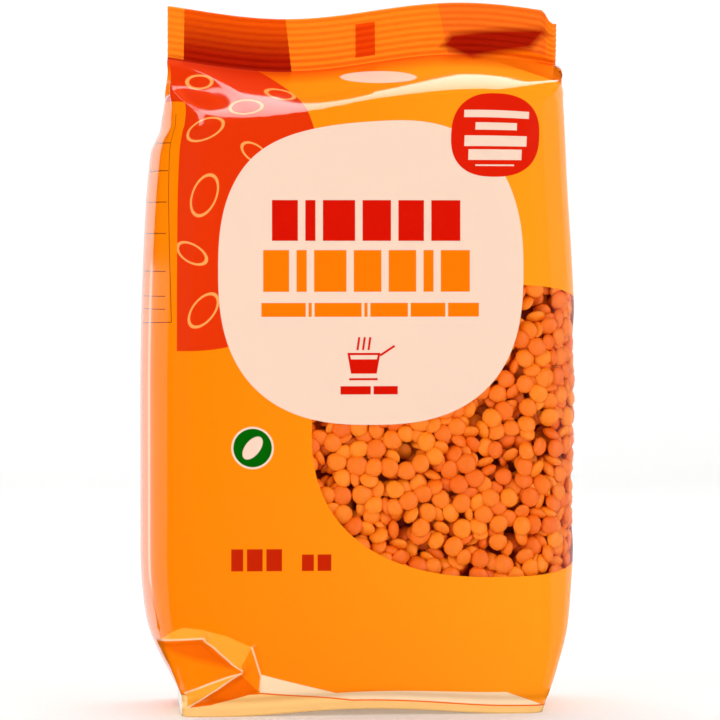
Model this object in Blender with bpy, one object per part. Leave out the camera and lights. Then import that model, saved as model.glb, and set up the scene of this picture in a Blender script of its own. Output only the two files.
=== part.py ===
"""A gusseted film bag of red lentils that stands on its folded foot.

The bag is one closed solid, lofted through unlike sections: a narrow foot, a body swollen by
its contents, a shoulder whose side gussets tuck in, and a flat ribbed crimp. A point on the
film has two numbers: how far round the bag it is, measured along the film from the middle of
the front, and the height of its section. Metres, +Z up, the front faces -Y.
"""

import math

import bmesh
import bpy
import numpy as np

NAME = "lentil_bag"
TAU = 2.0 * math.pi
TINY = 1e-6

# The film and the overall size
HEIGHT = 0.1562
HALF_WIDTH = 0.0482
HALF_DEPTH = 0.025
PANEL_HALF = 0.0432
GUSSET_LEAF = 0.026
QUARTER = PANEL_HALF + GUSSET_LEAF

# The crimp across the top, its ribs and the waves that run along it
CRIMP_HEIGHT = 0.0115
CRIMP_BASE = HEIGHT - CRIMP_HEIGHT
CRIMP_HALF_THICKNESS = 0.0005
RIBS = 8
RIB_DEPTH = 0.0003
CRIMP_LEAN = 0.0014
CRIMP_LEAN_LENGTH = 0.075
CRIMP_LEAN_PHASE = 0.6
CRIMP_LEAN_START = 0.137
EDGE_WAVE = 0.002
EDGE_WAVE_LENGTH = 0.08
EDGE_WAVE_START = 0.118
EDGE_CREST_X = 0.023
RIGHT_END_DROP = 0.0026
RIGHT_END_START = 0.0410

# The gussets' folds, from the crimp down to where they are open
SHOULDER_DROP = 0.024
SHOULDER_DROP_LEFT = 0.007
NOTCH_SHARE = 0.3
NOTCH_POWER = 1.3
FOLDED_SHARE = 0.5
HELD_OUT_LEFT = 0.0023
HELD_OUT_RIGHT = 0.0003
HELD_AT = 0.26
HELD_REACH = 0.2
HELD_WIDTH = 0.012

# The roof between the crimp and the knee of the panels. Where it changes across the bag, the
# edges are shares of a panel's half width.
ROOF_DROP = 0.0096
ROOF_DROP_LEFT = 0.0082
ROOF_DROP_LEFT_POWER = 1.2
ROOF_DROP_RIGHT = 0.0043
ROOF_RIGHT_EDGES = (0.55, 0.95)
ROOF_BEND = 1.3
ROOF_BEND_LEFT = 0.15
ROOF_HOLLOW = 0.21
ROOF_HOLLOW_EDGES = (0.6, 0.8)
ROOF_HOLLOW_END = 0.86

# The body
CORNER_RADIUS = 0.0085
CORNER_FULL_HEIGHT = 0.03
SIDE_SWELL = 0.003
SIDE_SWELL_HEIGHT = 0.02
FRONT_SWELL = 0.0025
FRONT_SWELL_HEIGHT = 0.05
BELLY_HEIGHT = 0.068
LEFT_NARROWING = 0.0040
LEFT_NARROWING_POWER = 2.0
LEFT_STEP = 0.0015
LEFT_STEP_LOW = 0.1225
LEFT_STEP_HIGH = 0.1285
RIGHT_NARROWING = 0.0049
RIGHT_NARROWING_POWER = 1.6
TOP_SHIFT = 0.001
TOP_SHIFT_START = 0.11

# The foot, a little twisted against the body
FOOT_HALF_WIDTH = 0.0397
FOOT_SKEW = 0.0012
FOOT_SKEW_HEIGHT = 0.02
FOOT_CORNER_RADIUS = 0.004
FOOT_INSET = 0.0018
FOOT_ROUND_HEIGHT = 0.0058
FOOT_FOLD_HEIGHT = 0.0030
FOOT_FOLD_WIDTH = 0.0007
FOOT_FOLD_DEPTH = 0.0008
FOOT_ARCH = 0.0014
FOOT_ARCH_HALF = 0.031
FOOT_ARCH_HEIGHT = 0.018
RIGHT_TAPER = 0.0185
LEFT_TUCK_LOW = 0.0045
LEFT_TUCK_HIGH = 0.036
LEFT_TUCK_BEND = 2.2

# The lap seal down the back
LAP_HALF_WIDTH = 0.0045
LAP_PROUD = 0.0005
LAP_EDGE = 0.0004

# Creases of the tucked corner at the lower left of the front: the two ends of each crest in
# X and Z, how far it stands out, and how far it falls away above and below
CREST_FADE = 0.12
TUCK_CRESTS = (
    ((-0.0465, 0.0158), (-0.0361, 0.0174), 0.0011, 0.0026, 0.0010),
    ((-0.0361, 0.0174), (-0.0276, 0.0103), 0.0011, 0.0042, 0.0014),
    ((-0.0408, 0.0052), (-0.0276, 0.0098), 0.0007, 0.0016, 0.0010),
    ((-0.0395, 0.0021), (-0.0276, 0.0096), 0.0011, 0.0020, 0.0014),
    ((-0.0256, 0.0155), (-0.0238, 0.0062), 0.0009, 0.0018, 0.0022),
)
TUCK_HOLLOW = 0.0012
TUCK_HOLLOW_CENTRE = (-0.0345, 0.0115)
TUCK_HOLLOW_REACH = (0.0105, 0.0065)

# The grid of the loft
LEFT_PANEL_STEPS = 14
MIDDLE_PANEL_STEPS = 4
RIGHT_PANEL_STEPS = 6
LEAF_STEPS = 5
CORNER_STEP = 0.0015
DENSE_TO = -0.020
FOOT_LEVELS = (0.0, 0.0013, 0.0023, 0.0030, 0.0037, 0.0048, 0.0060)
TUCK_LEVELS = (0.0075, 0.0225, 11)
BODY_LEVELS = (0.026, 0.032, 0.042, 0.055, 0.068, 0.082, 0.095, 0.105)
SHOULDER_LEVELS = (1.35, 0.0, 19)
SHOULDER_LEVEL_POWER = 1.5

SHARP_ANGLE = math.radians(35)
FILM_COLOUR = (1.0, 0.25, 0.004, 1.0)
FILM_ROUGHNESS = 0.25


def ease(t):
    """A smooth step from 0 to 1."""
    t = np.clip(t, 0.0, 1.0)
    return t * t * (3.0 - 2.0 * t)


def edge_drop(x):
    """How far the crimp's top edge lies below its crest at x: a cosine along the crimp."""
    return EDGE_WAVE * (1.0 - np.cos(TAU * (x - EDGE_CREST_X) / EDGE_WAVE_LENGTH))


def straight_half_width(z, side):
    """Half the section's width without the swell: side is +1 on the right, -1 on the left.
    Powers of the height narrow it upwards, with a step where the left gusset opens. An
    exponential narrows the right foot, and a power of the height the left one."""
    body = HALF_WIDTH - SIDE_SWELL
    above = np.clip((z - BELLY_HEIGHT) / (CRIMP_BASE - BELLY_HEIGHT), 0.0, 1.0)
    step = LEFT_STEP * ease((z - LEFT_STEP_LOW) / (LEFT_STEP_HIGH - LEFT_STEP_LOW))
    on_left = LEFT_NARROWING * above**LEFT_NARROWING_POWER + step
    on_right = RIGHT_NARROWING * above**RIGHT_NARROWING_POWER
    right_foot = np.exp(-z / RIGHT_TAPER)
    tucked = np.clip((LEFT_TUCK_HIGH - z) / (LEFT_TUCK_HIGH - LEFT_TUCK_LOW), 0.0, 1.0)
    foot = np.where(side > 0, right_foot, tucked**LEFT_TUCK_BEND)
    return body - np.where(side > 0, on_right, on_left) - (body - FOOT_HALF_WIDTH) * foot


def foot_inset(z):
    """How far the front and back draw in towards the foot, with the fold's groove: a smooth
    step and a bell curve."""
    rounding = FOOT_INSET * (1.0 - ease(z / FOOT_ROUND_HEIGHT))
    groove = FOOT_FOLD_DEPTH * np.exp(-(((z - FOOT_FOLD_HEIGHT) / FOOT_FOLD_WIDTH) ** 2))
    return rounding + groove


def body_section(q, z, side, back):
    """A swollen rectangle with round corners: q runs along a quarter of it, from the middle
    of the front or back to the middle of a side, along a straight, a quarter circle and a
    straight, each swollen by a parabola. Returns x and y, both measured outwards."""
    width = straight_half_width(z, side)
    depth = HALF_DEPTH - FRONT_SWELL - foot_inset(z) - np.where(back, LAP_PROUD, 0.0)
    opened = ease(z / CORNER_FULL_HEIGHT)
    radius = FOOT_CORNER_RADIUS + (CORNER_RADIUS - FOOT_CORNER_RADIUS) * opened
    turn_length = radius * math.pi / 2.0
    run = q / QUARTER * (width - radius + turn_length + depth - radius)
    turn = np.clip((run - (width - radius)) / radius, 0.0, math.pi / 2.0)
    x = np.minimum(run, width - radius) + radius * np.sin(turn)
    past = np.maximum(run - (width - radius) - turn_length, 0.0)
    y = depth - radius * (1.0 - np.cos(turn)) - past
    swell_x = SIDE_SWELL * ease(z / SIDE_SWELL_HEIGHT) * (1.0 - (y / depth) ** 2)
    across = np.minimum(x / width, 1.0)
    swell_y = FRONT_SWELL * ease(z / FRONT_SWELL_HEIGHT) * (1.0 - across**2)
    return x + swell_x, y + swell_y


def shoulder_fraction(x, z):
    """0 at the crimp's base and 1 where the gussets are wide open, lower on the left."""
    leftward = np.clip(-x / PANEL_HALF, 0.0, 1.0)
    return np.clip((CRIMP_BASE - z) / (SHOULDER_DROP + SHOULDER_DROP_LEFT * leftward), 0.0, 1.0)


def roof_depth(x, z, back):
    """The share of its full depth that a panel has: 0 at the crimp's base and 1 at the knee,
    along a superellipse, less a squared sine that hollows the front's left end. The knee is
    lower on the left and higher at the right end."""
    across = np.clip(x / PANEL_HALF, -1.0, 1.0)
    leftward = np.maximum(-across, 0.0)
    start, end = ROOF_RIGHT_EDGES
    drop = ROOF_DROP + ROOF_DROP_LEFT * leftward**ROOF_DROP_LEFT_POWER
    drop = drop - ROOF_DROP_RIGHT * ease((across - start) / (end - start))
    down = np.clip((CRIMP_BASE - z) / drop, 0.0, 1.0)
    start, end = ROOF_HOLLOW_EDGES
    hollow = np.where(back, 0.0, ROOF_HOLLOW) * ease((leftward - start) / (end - start))
    hollow = hollow * np.sin(math.pi * np.clip(down / ROOF_HOLLOW_END, 0.0, 1.0)) ** 2
    bend = ROOF_BEND - ROOF_BEND_LEFT * leftward
    return (1.0 - (1.0 - down) ** bend) ** (1.0 / bend) - hollow


def crest(x, z, start, end, rise, above, below):
    """A crease's height: full on the line from start to end, falling straight to nothing at
    the distances above and below it, and fading at its ends."""
    along = np.subtract(end, start)
    length = math.hypot(*along)
    along = along / length
    dx, dz = x - start[0], z - start[1]
    t = (dx * along[0] + dz * along[1]) / length
    off = dz * along[0] - dx * along[1]
    fall = np.where(off > 0, 1.0 - off / above, 1.0 + off / below)
    ends = ease(t / CREST_FADE + 1.0) * ease((1.0 - t) / CREST_FADE + 1.0)
    return rise * np.clip(fall, 0.0, 1.0) * ends


def tucked_corner(x, z):
    """The creased relief at the lower left of the front, outwards: crests over a hollow."""
    relief = sum(crest(x, z, *each) for each in TUCK_CRESTS)
    across = (x - TUCK_HOLLOW_CENTRE[0]) / TUCK_HOLLOW_REACH[0]
    up = (z - TUCK_HOLLOW_CENTRE[1]) / TUCK_HOLLOW_REACH[1]
    return relief - TUCK_HOLLOW * ease(1.0 - np.hypot(across, up))


def lap_seal(s):
    """The lap seal's relief down the middle of the back: a flat strip with sloping edges."""
    from_middle = 2.0 * QUARTER - np.abs(s)
    return LAP_PROUD * np.clip((LAP_HALF_WIDTH - from_middle) / LAP_EDGE, 0.0, 1.0)


def bag_surface(s, z):
    """The bag's outer surface as an array of points: the body's section above the foot blends
    into two flat panels with the gussets' leaves between them, and ends in the crimp. s is
    the distance round the film, positive to the right, and z the height of the section."""
    s, z = np.broadcast_arrays(s, z)
    side = np.where(s < 0, -1.0, 1.0)
    back = np.abs(s) > QUARTER
    q = np.where(back, 2.0 * QUARTER - np.abs(s), np.abs(s))
    outward = np.where(back, 1.0, -1.0)
    body_x, body_y = body_section(q, z, side, back)

    fraction = shoulder_fraction(side * body_x, z)
    opened = roof_depth(side * body_x, z, back)
    folded = 1.0 - ease(fraction / FOLDED_SHARE)
    tuck = GUSSET_LEAF * np.clip(1.0 - fraction / NOTCH_SHARE, 0.0, 1.0) ** NOTCH_POWER
    tuck = np.where(z > CRIMP_BASE + TINY, 0.0, tuck)
    leaf = np.clip((q - PANEL_HALF) / GUSSET_LEAF, 0.0, 1.0)
    fold_x = np.minimum(q, PANEL_HALF) - tuck * leaf
    held = ease(1.0 - np.abs(fraction - HELD_AT) / HELD_REACH)
    held = held * ease(1.0 - np.abs(q - PANEL_HALF) / HELD_WIDTH)
    held = held * np.where(side > 0, HELD_OUT_RIGHT, HELD_OUT_LEFT)
    half = CRIMP_HALF_THICKNESS + (body_y - CRIMP_HALF_THICKNESS) * opened
    flat = CRIMP_HALF_THICKNESS + (HALF_DEPTH - FRONT_SWELL) * opened
    x = side * (body_x + (fold_x - body_x) * folded + held)
    y = half + (flat * (1.0 - leaf) - half) * folded

    y = outward * (y + np.where(back, lap_seal(s), tucked_corner(x, z)))
    x = x + TOP_SHIFT * ease((z - TOP_SHIFT_START) / (CRIMP_BASE - TOP_SHIFT_START))
    x = x + FOOT_SKEW * y / HALF_DEPTH * (1.0 - ease(z / FOOT_SKEW_HEIGHT))
    up_crimp = np.clip((z - CRIMP_BASE) / CRIMP_HEIGHT, 0.0, 1.0)
    lean = CRIMP_LEAN * np.sin(TAU * x / CRIMP_LEAN_LENGTH + CRIMP_LEAN_PHASE)
    y = y + RIB_DEPTH * np.sin(TAU * RIBS * up_crimp)
    y = y + lean * ease((z - CRIMP_LEAN_START) / (HEIGHT - CRIMP_LEAN_START))
    wave = edge_drop(x) * ease((z - EDGE_WAVE_START) / (CRIMP_BASE - EDGE_WAVE_START))
    end_drop = RIGHT_END_DROP * ease((x - RIGHT_END_START) / (PANEL_HALF - RIGHT_END_START))
    arch = FOOT_ARCH * (1.0 - np.clip(x / FOOT_ARCH_HALF, -1.0, 1.0) ** 2) ** 2
    arch = arch * (1.0 - ease(z / FOOT_ARCH_HEIGHT))
    return np.stack([x, y, z - wave - end_drop * up_crimp + arch], axis=-1)


def front_columns():
    """Distances round the film from the left side's middle to the right side's middle, with
    columns at the lap seal's edges so that the back's, at the same distances, follow it."""
    leaf = np.linspace(PANEL_HALF, QUARTER, LEAF_STEPS + 1)[1:]
    lap, lap_foot = LAP_HALF_WIDTH, LAP_HALF_WIDTH + LAP_EDGE
    left = np.linspace(-PANEL_HALF, DENSE_TO, LEFT_PANEL_STEPS + 1)[:-1]
    middle = np.linspace(DENSE_TO, -lap_foot, MIDDLE_PANEL_STEPS + 1)
    right = np.linspace(lap_foot, PANEL_HALF - 2.0 * CORNER_STEP, RIGHT_PANEL_STEPS + 1)
    corner = [PANEL_HALF - CORNER_STEP, PANEL_HALF]
    return np.concatenate([-leaf[::-1], left, middle, [-lap, lap], right, corner, leaf])


def section_heights():
    """Heights of the sections, close together at the foot, the shoulder and the ribs."""
    tucked = np.linspace(*TUCK_LEVELS)
    shoulder = CRIMP_BASE - SHOULDER_DROP * np.linspace(*SHOULDER_LEVELS) ** SHOULDER_LEVEL_POWER
    ribs = CRIMP_BASE + CRIMP_HEIGHT * (np.arange(2 * RIBS) + 0.5) / (2 * RIBS)
    return np.concatenate([FOOT_LEVELS, tucked, BODY_LEVELS, shoulder, ribs, [HEIGHT]])


def close_end(faces, ring, count, upward):
    """Closes an end by faces that join each front point to the back point behind it."""
    half = count // 2
    for j in range(half):
        front = [ring[j], ring[j + 1]]
        rear = [ring[(count - j - 1) % count], ring[(count - j) % count]]
        corners = list(dict.fromkeys(front + rear))
        faces.append(corners if upward else corners[::-1])


def make_bag():
    """Lofts the bag as one closed mesh."""
    front = front_columns()
    rear = np.sign(front[1:-1]) * (2.0 * QUARTER - np.abs(front[1:-1]))
    around = np.concatenate([front, rear[::-1]])
    heights = section_heights()
    points = bag_surface(around[None, :], heights[:, None]).reshape(-1, 3)
    count, rows = len(around), len(heights)
    ring = np.arange(count * rows).reshape(rows, count)
    after = np.roll(ring, -1, axis=1)
    faces = np.stack([ring[:-1], after[:-1], after[1:], ring[1:]], axis=-1).reshape(-1, 4).tolist()
    close_end(faces, ring[0].tolist(), count, False)
    close_end(faces, ring[-1].tolist(), count, True)

    mesh = bpy.data.meshes.new(NAME)
    mesh.from_pydata(points.tolist(), [], faces)
    build = bmesh.new()
    build.from_mesh(mesh)
    bmesh.ops.triangulate(build, faces=build.faces)
    bmesh.ops.recalc_face_normals(build, faces=build.faces)
    build.to_mesh(mesh)
    build.free()
    mesh.shade_smooth()
    mesh.set_sharp_from_angle(angle=SHARP_ANGLE)
    return bpy.data.objects.new(NAME, mesh)


def film_material():
    material = bpy.data.materials.new("printed_film")
    material.use_nodes = True
    shader = material.node_tree.nodes["Principled BSDF"]
    shader.inputs["Base Color"].default_value = FILM_COLOUR
    shader.inputs["Roughness"].default_value = FILM_ROUGHNESS
    shader.inputs["Metallic"].default_value = 0.0
    return material


def main():
    for old in list(bpy.data.objects):
        bpy.data.objects.remove(old, do_unlink=True)
    parts = bpy.data.collections.new("bag_of_lentils")
    bpy.context.scene.collection.children.link(parts)
    bag = make_bag()
    bag.data.materials.append(film_material())
    parts.objects.link(bag)


main()
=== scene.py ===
"""Looks of a standing gusseted film bag of red lentils: a glossy printed film with a clear
window, the loose lentils behind it, a pale sweep and soft studio light.

A point on the film has two numbers: s, how far round the bag it is, measured along the film
from the middle of the front, and z, the height of its section. Lengths are metres, and the
print is laid out in millimetres on the film's own map. The front faces -Y.
"""

import math

import bpy
import numpy as np
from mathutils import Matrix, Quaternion, Vector


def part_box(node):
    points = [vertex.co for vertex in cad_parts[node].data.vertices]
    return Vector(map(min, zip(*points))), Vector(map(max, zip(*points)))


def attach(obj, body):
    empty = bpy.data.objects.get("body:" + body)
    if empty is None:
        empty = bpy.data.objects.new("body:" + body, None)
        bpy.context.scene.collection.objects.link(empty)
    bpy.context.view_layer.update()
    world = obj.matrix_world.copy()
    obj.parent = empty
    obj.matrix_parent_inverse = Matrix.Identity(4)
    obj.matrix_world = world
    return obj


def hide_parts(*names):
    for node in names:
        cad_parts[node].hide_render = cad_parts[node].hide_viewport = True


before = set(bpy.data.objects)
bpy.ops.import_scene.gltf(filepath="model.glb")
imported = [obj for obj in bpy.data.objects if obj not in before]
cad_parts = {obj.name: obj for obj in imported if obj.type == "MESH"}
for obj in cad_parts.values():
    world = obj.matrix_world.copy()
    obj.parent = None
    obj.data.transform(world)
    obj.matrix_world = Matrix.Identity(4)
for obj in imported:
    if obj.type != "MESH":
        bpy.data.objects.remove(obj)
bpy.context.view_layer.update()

NODE = "lentil_bag"
MM = 0.001
TAU = 2.0 * math.pi
TINY = 1e-6

# The camera
CAMERA_DISTANCE = 0.95
CAMERA_AZIMUTH = math.radians(-6.5)
CAMERA_ELEVATION = math.radians(1.5)
CAMERA_TARGET = (0.0005, 0.0, 0.0768)
FRAME_WIDTH_AT_TARGET = 0.15984
SENSOR_MM = 36.0

# The film and the overall size
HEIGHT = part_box(NODE)[1][2]
HALF_WIDTH = 0.0482
HALF_DEPTH = 0.025
PANEL_HALF = 0.0432
GUSSET_LEAF = 0.026
QUARTER = PANEL_HALF + GUSSET_LEAF

# The crimp across the top, its ribs and the waves that run along it
CRIMP_HEIGHT = 0.0115
CRIMP_BASE = HEIGHT - CRIMP_HEIGHT
CRIMP_HALF_THICKNESS = 0.0003
RIBS = 8
RIB_DEPTH = 0.00028
CRIMP_LEAN = 0.0014
CRIMP_LEAN_LENGTH = 0.075
CRIMP_LEAN_PHASE = 0.6
CRIMP_LEAN_START = 0.137
EDGE_WAVE = 0.002
EDGE_WAVE_LENGTH = 0.08
EDGE_WAVE_START = 0.118
EDGE_CREST_X = 0.023
RIGHT_END_DROP = 0.0026
RIGHT_END_START = 0.0410

# The gussets' folds, from the crimp down to where they are open
SHOULDER_DROP = 0.024
SHOULDER_DROP_LEFT = 0.007
NOTCH_SHARE = 0.3
NOTCH_POWER = 1.3
FOLDED_SHARE = 0.5
HELD_OUT_LEFT = 0.0023
HELD_OUT_RIGHT = 0.0003
HELD_AT = 0.26
HELD_REACH = 0.2
HELD_WIDTH = 0.012

# The roof between the crimp and the knee of the panels. Where it changes across the bag, the
# edges are shares of a panel's half width.
ROOF_DROP = 0.0096
ROOF_DROP_LEFT = 0.0082
ROOF_DROP_LEFT_POWER = 1.2
ROOF_DROP_RIGHT = 0.0043
ROOF_RIGHT_EDGES = (0.55, 0.95)
ROOF_BEND = 1.3
ROOF_BEND_LEFT = 0.15
ROOF_HOLLOW = 0.21
ROOF_HOLLOW_EDGES = (0.6, 0.8)
ROOF_HOLLOW_END = 0.86

# The body
CORNER_RADIUS = 0.0085
CORNER_FULL_HEIGHT = 0.03
SIDE_SWELL = 0.003
SIDE_SWELL_HEIGHT = 0.02
FRONT_SWELL = 0.0025
FRONT_SWELL_HEIGHT = 0.05
BELLY_HEIGHT = 0.068
LEFT_NARROWING = 0.0040
LEFT_NARROWING_POWER = 2.0
LEFT_STEP = 0.0015
LEFT_STEP_LOW = 0.1225
LEFT_STEP_HIGH = 0.1285
RIGHT_NARROWING = 0.0049
RIGHT_NARROWING_POWER = 1.6
TOP_SHIFT = 0.001
TOP_SHIFT_START = 0.11

# The foot, a little twisted against the body
FOOT_HALF_WIDTH = 0.0397
FOOT_SKEW = 0.0012
FOOT_SKEW_HEIGHT = 0.02
FOOT_CORNER_RADIUS = 0.004
FOOT_INSET = 0.0018
FOOT_ROUND_HEIGHT = 0.0058
FOOT_FOLD_HEIGHT = 0.0030
FOOT_FOLD_WIDTH = 0.0007
FOOT_FOLD_DEPTH = 0.0008
FOOT_ARCH = 0.0014
FOOT_ARCH_HALF = 0.031
FOOT_ARCH_HEIGHT = 0.018
RIGHT_TAPER = 0.0185
LEFT_TUCK_LOW = 0.0045
LEFT_TUCK_HIGH = 0.036
LEFT_TUCK_BEND = 2.2

# The lap seal down the back
LAP_HALF_WIDTH = 0.0045
LAP_PROUD = 0.0005
LAP_EDGE = 0.0004

# Creases of the tucked corner at the lower left of the front: the two ends of each crest in
# X and Z, how far it stands out, and how far it falls away above and below
CREST_FADE = 0.12
TUCK_CRESTS = (
    ((-0.0465, 0.0158), (-0.0361, 0.0174), 0.0011, 0.0026, 0.0010),
    ((-0.0361, 0.0174), (-0.0276, 0.0103), 0.0011, 0.0042, 0.0014),
    ((-0.0408, 0.0052), (-0.0276, 0.0098), 0.0007, 0.0016, 0.0010),
    ((-0.0395, 0.0021), (-0.0276, 0.0096), 0.0011, 0.0020, 0.0014),
    ((-0.0256, 0.0155), (-0.0238, 0.0062), 0.0009, 0.0018, 0.0022),
)
TUCK_HOLLOW = 0.0012
TUCK_HOLLOW_CENTRE = (-0.0345, 0.0115)
TUCK_HOLLOW_REACH = (0.0105, 0.0065)

# The film's grid: the steps along and up it, and where they change. BACK_CENTRE is the middle of
# the back on the film's map, and FRAME_REACH how far away the film's directions are measured.
LEAF_STEP = 0.0011
TUCK_STEP = 0.00048
PANEL_STEP = 0.00082
TUCK_EDGES = (-0.0465, -0.018)
FOOT_STEP = 0.00046
BODY_STEP = 0.0018
SHOULDER_STEP = 0.0007
ROW_EDGES = (0.0, 0.024, 0.118)
ROWS_PER_RIB = 8
UNDER_STEPS = 26
UNDER_LIFT = 0.0004
UNDER_SEAM_HALF = 0.005
UNDER_EDGE = 0.06
BACK_CENTRE = 0.200
OFF_PRINT = -0.001
FRAME_REACH = 0.1 * MM

# The print and the light and shade painted with it, in millimetres of the film's map. A
# squircle is a centre, half sizes and a power, an oval a centre, half sizes and a turn, a stroke
# its two ends and a facet its corners.
WINDOW = (28.4, 61.9, 41.2, 31.8, 2.4)
WINDOW_RIGHT = 65.0
LABEL = (0.3, 96.7, 33.3, 33.3, 2.55)
BADGE = (27.0, 126.2, 9.9, 9.1, 2.5)
BADGE_ROWS = ((27.0, 130.8, 7.2, 0.8), (27.0, 128.1, 4.6, 0.8), (27.0, 124.9, 6.9, 1.15),
              (27.0, 121.9, 5.9, 1.15), (27.0, 119.6, 4.3, 0.16))
PATCH = (-41.5, 113.9, 30.0, 34.5, 2.6)
PATCH_LEFT = (-42.2, 134.5)
MOTIFS = ((-36.5, 128.0, 4.4, 2.4, 0.5), (-25.5, 122.5, 3.2, 1.8, -0.7),
          (-36.0, 113.0, 4.6, 2.6, 1.2), (-28.0, 134.5, 3.6, 1.9, 0.2),
          (-38.8, 100.5, 3.6, 1.9, -0.5), (-36.2, 88.2, 4.2, 2.3, 0.9),
          (-20.0, 138.5, 3.0, 1.3, -0.2), (-38.0, 140.0, 3.4, 1.4, 0.3))
MOTIF_HALF_STROKE = 0.2
WORD_ROWS = (
    (-21.4, 107.6, 4.4, 1.6, (5.6, 2.2, 7.0, 6.2, 5.6, 6.4)),
    (-23.3, 96.7, 4.5, 1.6, (5.6, 2.2, 7.0, 6.0, 6.0, 2.2, 6.4)),
)
SMALL_ROW = (-23.7, 88.3, 1.5, 0.6, (9.6, 0.7, 10.2, 0.7, 8.2, 7.6, 6.8))
POT = ((-5.1, 79.0), (2.1, 79.0), (1.3, 74.5), (-4.3, 74.5))
POT_WATER = ((-4.5, 78.5), (1.5, 78.5), (1.3, 77.6), (-4.3, 77.6))
POT_STROKES = (((-4.7, 73.3), (1.5, 73.3)), ((2.0, 78.4), (5.2, 80.5)), ((-2.9, 79.6), (-2.5, 82.4)),
               ((-1.7, 79.6), (-1.3, 82.4)), ((-0.5, 79.6), (-0.1, 82.4)))
POT_CAPTION = (-6.6, 70.9, 0.9, 0.6, (6.6, 5.3))
POT_HALF_STROKE = 0.24
PILL = (2.1, 140.9, 8.1, 1.5, -0.16)
DISC = (-25.6, 58.5, 4.6, 4.6, 0.0)
DISC_RIM = 0.45
DISC_SEED = (-25.6, 58.5, 2.9, 1.6, 0.9)
WEIGHT_ROWS = ((-30.2, 34.2, 2.4, 0.8, (2.6, 3.4, 3.4)), (-14.9, 33.6, 1.8, 0.8, (2.6, 3.0)))
# Painted light: across this span of X, in metres, the film's orange turns into the yellower orange
# of its right side.
BODY_LIGHT_SPAN = (-0.042, 0.042)
# Painted shade: between these heights the roof darkens towards the crimp's foot.
SHADED_ROOF = (141.2, 144.6)
CRIMP_FOOT = CRIMP_BASE / MM
# Half the width of the painted shadow line along the crease at the crimp's foot.
CREASE_SHADOW_HALF = 0.22
# Painted shade: the crimp's dark field of overlapping film is darkest at the lower of these heights,
# towards its foot.
CRIMP_SHADE_RISE = (147.2, 155.0)
CRIMP_DARK_FIELD = ((-39.7, 144.6), (-39.7, 157.0), (-17.4, 157.0), (-15.8, 144.6))
CRIMP_RIGHT_FIELD = ((19.3, 144.6), (16.8, 157.0), (41.0, 157.0), (41.0, 144.6))
CRIMP_SEAM = (0.7, 150.0, 2.2, 3.7)
# Painted shade in the hollow under the crimp's right end: its corners, and how soft its edge is.
POCKET = ((17.8, 146.6), (20.0, 149.2), (41.6, 152.2), (37.5, 147.2), (24.0, 143.8))
POCKET_SOFT = 1.6
# The fold's field below the pocket: darker orange, partly from the gusset film behind it and partly
# painted shade.
FOLD_SHADE = ((20.5, 148.0), (23.0, 144.8), (31.0, 142.4), (43.0, 138.2), (44.0, 146.0))
SIDE_FRAME = (((-43.6, 85.6), (-45.6, 131.5)), ((-43.7, 85.6), (-62.0, 85.2)))
SIDE_ROWS = (88.4, 91.2, 96.6, 104.8, 111.6, 118.4, 124.6)
SIDE_ROWS_SPAN = (-53.6, 8.2)
SIDE_HALF_STROKE = 0.11
BACK_PANEL = (200.0, 78.0, 27.0, 40.0, 6.0)
BACK_ROWS = (109.0, 104.0, 99.0, 94.0, 84.0, 79.0, 74.0, 64.0, 59.0, 54.0, 49.0)
BACK_ROW_HALF = (21.0, 0.35)
# The painted reflection of the floor at the foot: the top of its pale band and the thin line of
# painted shade under it, drawn as straight lines, each a point and a rise.
FOOT_BAND_RISE = ((-23.0, 9.2), -0.312)
FOOT_BAND_FLAT = ((-2.0, 4.05), 0.026)
FOOT_BAND_END = ((40.4, 1.5), -0.36)
FOOT_LINE_RISE = ((-20.8, 4.73), -0.147)
FOOT_LINE_FLAT = ((-2.0, 2.05), -0.008)
FOOT_LINE_TOP = 5.0
FOOT_LINE_HALF = 0.16
FOOT_ENDS = (-43.0, 43.0)
# The tucked corner's painted light and shade: facets painted lit, facets painted in shade, and ridge
# lines painted as highlights.
TUCK_LIT_FACETS = (
    ((-50.0, 16.6), (-44.6, 18.3), (-41.0, 19.6), (-36.5, 19.2), (-36.7, 17.4)),
    ((-36.7, 17.4), (-36.5, 19.2), (-31.0, 17.7), (-25.8, 15.3), (-28.2, 10.2)),
    ((-40.2, 5.3), (-28.2, 9.9), (-38.4, 2.2)),
)
TUCK_SHADED_FACETS = (
    ((-50.0, 16.0), (-36.8, 17.2), (-28.3, 10.2), (-39.0, 12.8)),
    ((-38.2, 2.1), (-28.2, 9.6), (-23.3, 5.4), (-33.5, 2.6)),
)
TUCK_RIDGES = (((-52.0, 16.2), (-36.7, 17.4)), ((-36.7, 17.4), (-28.2, 10.2)),
               ((-40.2, 5.3), (-28.2, 9.9)), ((-38.4, 2.1), (-28.2, 9.7)),
               ((-25.8, 15.4), (-23.1, 8.8)), ((-23.1, 8.8), (-23.2, 5.7)))
TUCK_HALF_STROKE = 0.15
TUCK_SOFT = (1.6, 0.35)

# The lentils
LENTIL_RADIUS = 0.00215
LENTIL_HALF_THICKNESS = 0.00104
LENTIL_COUNT = 1195
LENTIL_SEGMENTS = 12
LENTIL_RINGS = 6
LENTIL_RIM_POWER = 0.9
LENTIL_DOME_POWER = 1.25
LENTIL_UNEVEN = (0.045, 0.03)
LENTIL_SPREAD = 0.05
LENTIL_LIMITS = (0.88, 1.12)
WIDTH_SPREAD = 0.02
THICKNESS_SPREAD = 0.06
AXIS_NUDGE = 0.01
SEED = 7
SLAB_S = (-0.018, 0.0715)
SLAB_Z = (0.026, 0.098)
SLAB_DEPTH = 0.0085
FILM_CLEARANCE = 0.0004

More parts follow.
